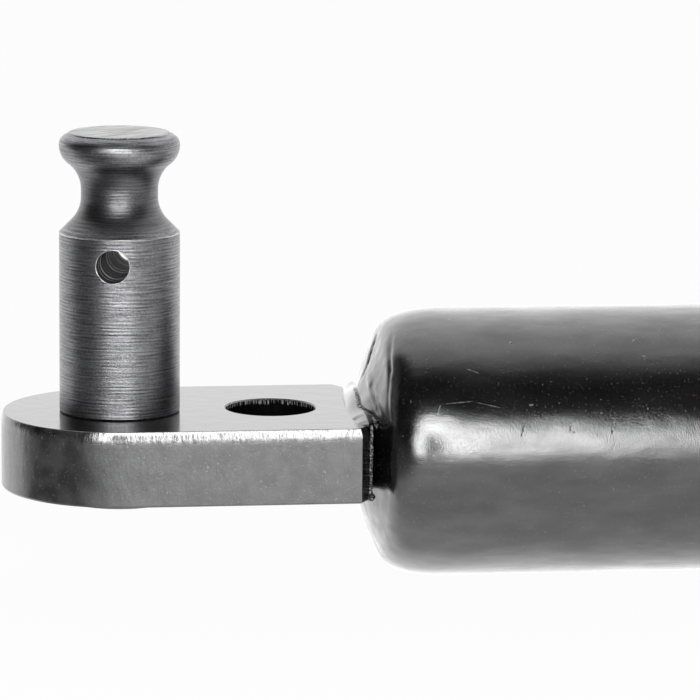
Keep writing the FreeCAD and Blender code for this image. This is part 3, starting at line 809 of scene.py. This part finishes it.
def tube_piece():
    """The tube: outside and inside turned as one outline, with two rolled beads and a rolled lip."""
    stop_bead = PISTON_FRONT + BEAD_HALF_LENGTH
    hold_bead = (GUIDE_LOW.x + GUIDE_HIGH.x) / 2
    lip_centre = (TUBE_HIGH.x - LIP_RADIUS, TUBE_RADIUS - LIP_RADIUS)
    chamber = TUBE_LOW.x + END_THICKNESS
    corner = (chamber + END_INNER_RADIUS, BORE_RADIUS - END_INNER_RADIUS)
    stations = closed_end()
    stations += [(x, TUBE_RADIUS) for x in range(int(stations[-1][0]) + 3, int(stop_bead) - 3, 4)]
    stations += rolled_bead(stop_bead, TUBE_RADIUS)
    stations += rolled_bead(hold_bead, TUBE_RADIUS)
    stations += arc(lip_centre, LIP_RADIUS, 90, 0, 12)
    stations += [(TUBE_HIGH.x, LIP_OPENING_RADIUS), (GUIDE_HIGH.x, LIP_OPENING_RADIUS)]
    stations += arc(lip_centre, LIP_RADIUS - TUBE_WALL, 0, 90, 4)
    stations += rolled_bead(hold_bead, BORE_RADIUS)[::-1]
    stations += rolled_bead(stop_bead, BORE_RADIUS)[::-1]
    stations += arc(corner, END_INNER_RADIUS, 90, 180, 5)
    stations += [(chamber, 0)]
    tube = spun_along("tube", stations, 192)
    move_points(tube, end_unevenness)
    coat(tube, ENAMEL)
    return tube


# Stud


def stud_stations():
    """(radius, height) round the stud from the rivet's underside to the middle of the head."""
    flank = WAIST_ARC * math.sqrt(0.5)
    flank_radius = NECK_RADIUS + WAIST_ARC - flank
    flank_top = SHOULDER_HEIGHT + STUD_RADIUS - flank_radius
    lower = (NECK_RADIUS + WAIST_ARC, flank_top + flank)
    upper = (lower[0], lower[1] + NECK_STRAIGHT)
    reach = math.degrees(math.acos(1 - (HEAD_SEAT_RADIUS - NECK_RADIUS) / WAIST_ARC))
    rivet_top = -LUG_THICKNESS
    stations = [(0, STUD_LOW.z), (2.2, STUD_LOW.z), (3.5, STUD_LOW.z), (3.95, STUD_LOW.z + 0.08),
                (4.12, STUD_LOW.z + 0.4), (4.04, rivet_top - 0.1), (3.9, rivet_top + 0.02),
                (2.75, rivet_top + 0.02), (2.75, -0.05), (STUD_RADIUS - 0.15, -0.05), (STUD_RADIUS, 0.1)]
    stations += straight((STUD_RADIUS, 0.1), (STUD_RADIUS, SHOULDER_HEIGHT), 24)
    stations += straight((STUD_RADIUS, SHOULDER_HEIGHT), (flank_radius, flank_top), 3)
    stations += arc(lower, WAIST_ARC, 225, 180, 8)[1:] + arc(upper, WAIST_ARC, 180, 180 - reach, 9)
    stations += [(3.52, 16.68), (3.75, 16.95), (3.9, 17.25), (3.98, 17.55), (4.0, 17.8), (3.98, 17.98),
                 (3.92, 18.15), (3.8, 18.3), (3.62, 18.44), (3.45, 18.53), (3.36, 18.56)]
    return stations + [(3.3, 18.64), (3.22, STUD_HIGH.z), (1.6, STUD_HIGH.z), (0, STUD_HIGH.z)]


def shoulder_burr():
    """The fine bright lip that the tool left round the edge of the shoulder: it wanders and thins out."""
    bpy.ops.object.select_all(action="DESELECT")
    bpy.ops.mesh.primitive_torus_add(major_radius=(STUD_RADIUS - 0.02) * MM, minor_radius=0.045 * MM,
                                     major_segments=240, minor_segments=8)
    burr = bpy.context.object
    for vertex in burr.data.vertices:
        place = vertex.co / MM
        around = Vector((place.x, place.y, 0)).normalized() * STUD_RADIUS
        swell = 0.8 + 0.9 * noise.noise(around * 1.1) + 0.5 * noise.noise(around * 4)
        wander = UP * (SHOULDER_HEIGHT + 0.05 * noise.noise(around * 0.9 + Vector((5, 0, 0))))
        vertex.co = (around + wander + (place - around) * max(swell, 0.15)) * MM
    coat(burr, BURR)
    return burr


def clip_hole_rim():
    """The raised bright rim where the drill broke into the stud, laid along the stud's wall."""
    radius = CLIP_HOLE_RADIUS + 0.02
    bpy.ops.object.select_all(action="DESELECT")
    bpy.ops.mesh.primitive_torus_add(major_radius=radius * MM, minor_radius=0.04 * MM, major_segments=120,
                                     minor_segments=8)
    rim = bpy.context.object
    turn = CLIP_INWARD.to_track_quat("Z", "Y").to_matrix()
    square = CLIP_INWARD.x ** 2 + CLIP_INWARD.y ** 2
    for vertex in rim.data.vertices:
        place = vertex.co / MM
        spine = Vector((place.x, place.y, 0)).normalized() * radius
        swell = 0.75 + 0.9 * noise.noise(spine * 2.2)
        at = CLIP_MOUTH + turn @ spine
        half = at.x * CLIP_INWARD.x + at.y * CLIP_INWARD.y
        rest = at.x ** 2 + at.y ** 2 - STUD_RADIUS ** 2
        reach = (-half - math.sqrt(half * half - square * rest)) / square
        vertex.co = (at + CLIP_INWARD * reach + turn @ (place - spine) * max(swell, 0.2)) * MM
    coat(rim, BURR)
    return rim


def stud_piece():
    """The stud: turned, drilled across at a slant, with its burrs."""
    stud = spun("stud", [Vector((r, 0, z)) for r, z in stud_stations()], UP, Vector((0, 0, 0)), 192)
    coat(stud, STEEL)
    drill = cylinder("drill", CLIP_HOLE_RADIUS, 16, CLIP_MOUTH + CLIP_INWARD * 4, CLIP_INWARD)
    coat(drill, DRILLED)
    shape_with(stud, drill)
    join(stud, shoulder_burr(), clip_hole_rim())
    return stud


# Lug


def lug_outline(level):
    """The lug's outline at a height: half round about the stud, straight sides, cut corners at the weld."""
    half = LUG_HALF_WIDTH
    start = LUG_HIGH.x - LUG_CORNER_LENGTH
    inner = half - LUG_CORNER_WIDTH
    points = arc((0, 0), half, 270, 90, 180)
    for corner, count in (((start, half), 120), ((LUG_HIGH.x, inner), 4), ((LUG_HIGH.x, -inner), 60),
                          ((start, -half), 4), ((0, -half), 120)):
        points += straight(points[-1], corner, count)
    return [Vector((x, y, level)) for x, y in points]


def draw_on(lug, from_level, rise, inset):
    """Pulls the flat face at from_level on by rise, drawn in by inset all round.
    Known fault: edges chosen by an earlier call stay selected and are likely pulled along. The lug's mesh
    holds a ring of stray faces over its underside, which faces inward."""
    for face in lug.data.polygons:
        face.select = abs(face.normal.z) > 0.9 and abs(face.center.z / MM - from_level) < 0.02
    length = LUG_HIGH.x - LUG_LOW.x
    middle = Vector(((LUG_HIGH.x + LUG_LOW.x) / 2, 0, from_level + rise)) * MM
    bpy.ops.object.mode_set(mode="EDIT")
    bpy.ops.mesh.extrude_region_move(TRANSFORM_OT_translate={"value": UP * rise * MM})
    bpy.ops.transform.resize(value=(1 - 2 * inset / length, 1 - inset / LUG_HALF_WIDTH, 1),
                             center_override=middle)
    bpy.ops.object.mode_set(mode="OBJECT")


def torn_edge(y):
    """The crumbled upright edge at the lug's end beside the weld."""
    middle = Vector((LUG_HIGH.x + 0.12, y, 0))
    heights = [-0.02 - 5.0 * k / 90 for k in range(91)]
    points = [middle + ALONG * (0.11 + 0.2 * math.exp(-((z + 4.8) / 0.22) ** 2)) + UP * z for z in heights]
    points = [middle + UP * heights[0]] + points + [middle + UP * heights[-1]]
    ridge = spun("torn_edge", points, UP, middle, 24)
    move_points(ridge, lambda p: 0.05 * noise.noise_vector(p * 1.6) + 0.05 * noise.noise_vector(p * 9))
    coat(ridge, TORN)
    return ridge


def lug_piece():
    """The lug: its outline pulled down to the plate's thickness, with a leaning sheared band along the
    top edge."""
    lug = filled("lug", lug_outline(-BAND_DEPTH))
    select_only(lug)
    bpy.ops.object.mode_set(mode="EDIT")
    bpy.ops.mesh.select_mode(type="FACE")
    bpy.ops.mesh.select_all(action="SELECT")
    for rise in (-0.45, 0.57 + BAND_DEPTH - LUG_THICKNESS):
        bpy.ops.mesh.extrude_region_move(TRANSFORM_OT_translate={"value": UP * rise * MM})
    bpy.ops.object.mode_set(mode="OBJECT")
    for level, rise, inset in ((0.12 - LUG_THICKNESS, -0.12, 0.08), (-BAND_DEPTH, BAND_DEPTH - 0.16, 0.072),
                               (-0.16, 0.13, 0.04), (-0.03, 0.03, 0.035)):
        draw_on(lug, level, rise, inset)

    def ragged(p):
        """Shift of the band's lower edge, which the shears left uneven."""
        if abs(p.z + BAND_DEPTH) > 0.01:
            return p * 0
        return UP * (0.14 * noise.noise(p * 1.3) + 0.18 * noise.noise(p * 4) + 0.04)

    close_mesh(lug)
    move_points(lug, ragged)
    for x, radius in ((BOLT_HOLE_X, BOLT_HOLE_RADIUS), (0, RIVET_HOLE_RADIUS)):
        shape_with(lug, cylinder("punch", radius, 12, Vector((x, 0, -2.5)), UP))
    bevel(lug, 0.09, 1, 70)
    coat(lug, SHEARED, PLATE, PIERCED)
    for face in lug.data.polygons:
        from_hole = math.hypot(face.center.x / MM - BOLT_HOLE_X, face.center.y / MM)
        hidden = from_hole < BOLT_HOLE_RADIUS + 0.01 or face.normal.x > 0.5
        face.material_index = 1 if abs(face.normal.z) > 0.9 else 2 if hidden else 0
    join(lug, torn_edge(-LUG_HALF_WIDTH + LUG_CORNER_WIDTH), torn_edge(LUG_HALF_WIDTH - LUG_CORNER_WIDTH))
    return lug


def weld_piece(name, level, outward, length, radius, spread):
    """A bead of weld metal on the outward side of the lug: a round-ended bar drawn flat, highest behind the
    middle and widest in front of it, where it reaches spread times its radius over the lug and runs out
    softly. Its near end narrows and sinks into the gap at the lug's end."""
    half = length / 2 - radius
    stations = arc((-half, 0), radius, 180, 90, 14) + straight((-half, radius), (half, radius), 70)
    stations += arc((half, 0), radius, 90, 0, 14)[1:]
    bead = spun(name, [Vector((r, y, 0)) for y, r in stations], ACROSS, Vector((0, 0, 0)), 72)

    def run(p):
        """Shift from the round bar to the bead, as the text above says."""
        wander = 0.05 * noise.noise(Vector((3, p.y * 0.4, level)))
        height = 0.45 + 0.53 * math.exp(-((p.y - 0.8) / 3.0) ** 2) + wander
        if p.z * outward < 0:
            height = 0.05
        elif p.x < 0:
            height *= (abs(p.z) / math.hypot(p.x, p.z)) ** 0.8
        reach = spread * math.sqrt(max(1 - ((p.y + 3.6) / 10.8) ** 2, 0)) + wander
        near = max((p.y + length / 2) / 4.5, 0.1)
        height *= min(0.3 + 1.5 * near, 1)
        reach = min(reach, near if p.x > 0 else 0.6 + 1.4 * near)
        x = p.x * reach + 0.3 * min(p.y + 5, 0)
        sag = 0.2 * max(-1.5 - p.y, 0) * min(max(x + 0.5, 0), 0.6) * outward
        return Vector((x - p.x, 0, p.z * (height - 1) - sag))

    move_points(bead, run)
    bead.data.transform(Matrix.Translation(Vector((LUG_HIGH.x + 0.5, 0, level)) * MM))
    coat(bead, WELD)
    return bead


# Rod end


def wiper_piece():
    """The wiper in the guide's mouth, with its lip round the rod."""
    inner = ROD_RADIUS + 0.02
    outer = WIPER_HIGH.y
    end = WIPER_HIGH.x
    stations = [(WIPER_LOW.x, inner), (end - 0.3, inner), (end - 0.1, inner + 0.1), (end, inner + 0.3),
                (end, outer - 0.8), (end - 0.15, outer - 0.45), (end - 0.5, outer - 0.3),
                (GUIDE_HIGH.x, outer - 0.3), (GUIDE_HIGH.x, outer), (WIPER_LOW.x, outer),
                (WIPER_LOW.x, inner)]
    wiper = spun_along("wiper", stations, 96)
    coat(wiper, plain_polymer("black_acetal", 0x1B1B1D, 0.42))
    return wiper


def rod_piece():
    """The rod with its riveted spigot and its thread, whose crests are cut as plain rings."""
    stations = [(ROD_LOW.x, 0), (ROD_LOW.x, 1.5), (ROD_LOW.x + 0.15, 2.1), (ROD_LOW.x + 0.6, 2.8),
                (RIVET_SEAT - 0.2, 3.3), (RIVET_SEAT, 3.4), (RIVET_SEAT, SPIGOT_RADIUS),
                (PISTON_FRONT, SPIGOT_RADIUS), (PISTON_FRONT, ROD_RADIUS - 0.3),
                (PISTON_FRONT + 0.3, ROD_RADIUS)]
    stations += straight((PISTON_FRONT + 0.3, ROD_RADIUS), (EYE_LOW.x, ROD_RADIUS), 40)
    for k in range(int((ROD_HIGH.x - EYE_LOW.x - 1) / THREAD_PITCH)):
        x = EYE_LOW.x + k * THREAD_PITCH
        stations += [(x + 0.05, THREAD_CREST), (x + 0.25, THREAD_CREST), (x + 0.7, THREAD_ROOT),
                     (x + 0.85, THREAD_ROOT)]
    stations += [(ROD_HIGH.x - 0.8, THREAD_CREST), (ROD_HIGH.x, 3.15), (ROD_HIGH.x, 0)]
    rod = spun_along("rod", stations, 96)
    coat(rod, FINISHES["hard_chrome"])
    return rod


def eye_piece():
    """The eye: a turned bar, trimmed to a rounded blade, drilled and bored, with worn edges.
    Known fault: its mesh isn't closed at the rounded end, and the number of faces there can differ from
    run to run."""
    centre = EYE_HIGH.x - EYE_HALF_WIDTH
    shank_end = EYE_LOW.x + EYE_SHANK_LENGTH
    neck_end = shank_end + EYE_NECK_LENGTH
    stations = [(EYE_LOW.x, 0), (EYE_LOW.x, EYE_SHANK_RADIUS - EYE_CHAMFER),
                (EYE_LOW.x + EYE_CHAMFER, EYE_SHANK_RADIUS), (shank_end, EYE_SHANK_RADIUS),
                (neck_end, EYE_HALF_WIDTH), (EYE_HIGH.x, EYE_HALF_WIDTH), (EYE_HIGH.x, 0)]
    eye = spun_along("eye", stations, 128)
    low = AXIS_Z - EYE_TOOL_REACH
    plan = [(EYE_LOW.x - 1, EYE_HALF_WIDTH), (EYE_LOW.x - 1, -EYE_HALF_WIDTH)]
    plan += arc((centre, 0), EYE_HALF_WIDTH, -90, 90, 64) + plan[:1]
    through = 2 * EYE_TOOL_REACH
    shape_with(eye, prism("plan", [Vector((x, y, low)) for x, y in plan], UP * through), "INTERSECT")
    for side in (1, -1):
        flank = [(shank_end, EYE_TOOL_REACH), (shank_end, EYE_SHANK_RADIUS), (neck_end, EYE_HALF_BLADE),
                 (EYE_HIGH.x + 1, EYE_HALF_BLADE), (EYE_HIGH.x + 1, EYE_TOOL_REACH),
                 (shank_end, EYE_TOOL_REACH)]
        points = [Vector((x, -EYE_TOOL_REACH, AXIS_Z + side * z)) for x, z in flank]
        shape_with(eye, prism("flank", points, ACROSS * through))
    shape_with(eye, cylinder("bore", EYE_BORE_RADIUS, 12, Vector((centre, 0, AXIS_Z)), UP))
    mouth = Vector((EYE_LOW.x, 0, AXIS_Z))
    shape_with(eye, cylinder("drill", EYE_DRILL_RADIUS, 2 * EYE_DRILL_DEPTH, mouth, ALONG))
    bevel(eye, EYE_EDGE, 3, 30)
    coat(eye, FINISHES["zinc_plated_steel"])
    return eye


# The whole object

bpy.context.scene.view_settings.view_transform = "Standard"
make_camera()
make_world()
make_floor()
make_ring_light()

ENAMEL = tube_enamel()
PLATE = plate_enamel()
SHEARED = sheared_enamel()
PIERCED = pierced_enamel()
TORN = torn_enamel()
WELD = weld_enamel()
STEEL = turned_steel()
DRILLED = drilled_steel()
BURR = plain_metal("bare_steel_burr", 0xC4C4C4, 0.42)
FINISHES = {
    "washer_steel": plain_metal("pressed_steel", 0x9A9A9C, 0.35),
    "seal_rubber": plain_polymer("nitrile_rubber", 0x161616, 0.6),
    "guide_alloy": plain_metal("turned_aluminium", 0xB9BBBD, 0.32),
    "bearing_bronze": plain_metal("sintered_bronze", 0xA8814F, 0.4),
    "piston_alloy": plain_metal("sintered_aluminium", 0xA9ABAD, 0.45),
    "ring_plastic": plain_polymer("filled_fluoropolymer", 0xC9C5B8, 0.5),
    "hard_chrome": plain_metal("hard_chrome", 0xCDCFD2, 0.1),
    "zinc_plated_steel": plain_metal("zinc_plate", 0xB4B6B8, 0.3),
}

hand_over(tube_piece(), "cylinder", "pressure_tube")
hand_over(stud_piece(), "cylinder", "stud_pin")
hand_over(lug_piece(), "cylinder", "lug_plate", 28)
over = weld_piece("weld_over_lug", 0, 1, 14.0, 1.0, 1.38)
under = weld_piece("weld_under_lug", -LUG_THICKNESS, -1, 8.0, 0.8, 1.1)
hand_over(over, "cylinder", "weld_over", 80)
hand_over(under, "cylinder", "weld_under", 80)
hand_over(wiper_piece(), "cylinder", "wiper_ring")
hand_over(rod_piece(), "rod", "piston_rod")
hand_over(eye_piece(), "rod", "rod_eye")

SLOTS = {part["node"]: part["material_slot"] for part in frame["record"]["subparts"]}
for node, carried in frame["nodes"].items():
    if SLOTS[node] in FINISHES:
        for place in carried.material_slots:
            place.material = FINISHES[SLOTS[node]]
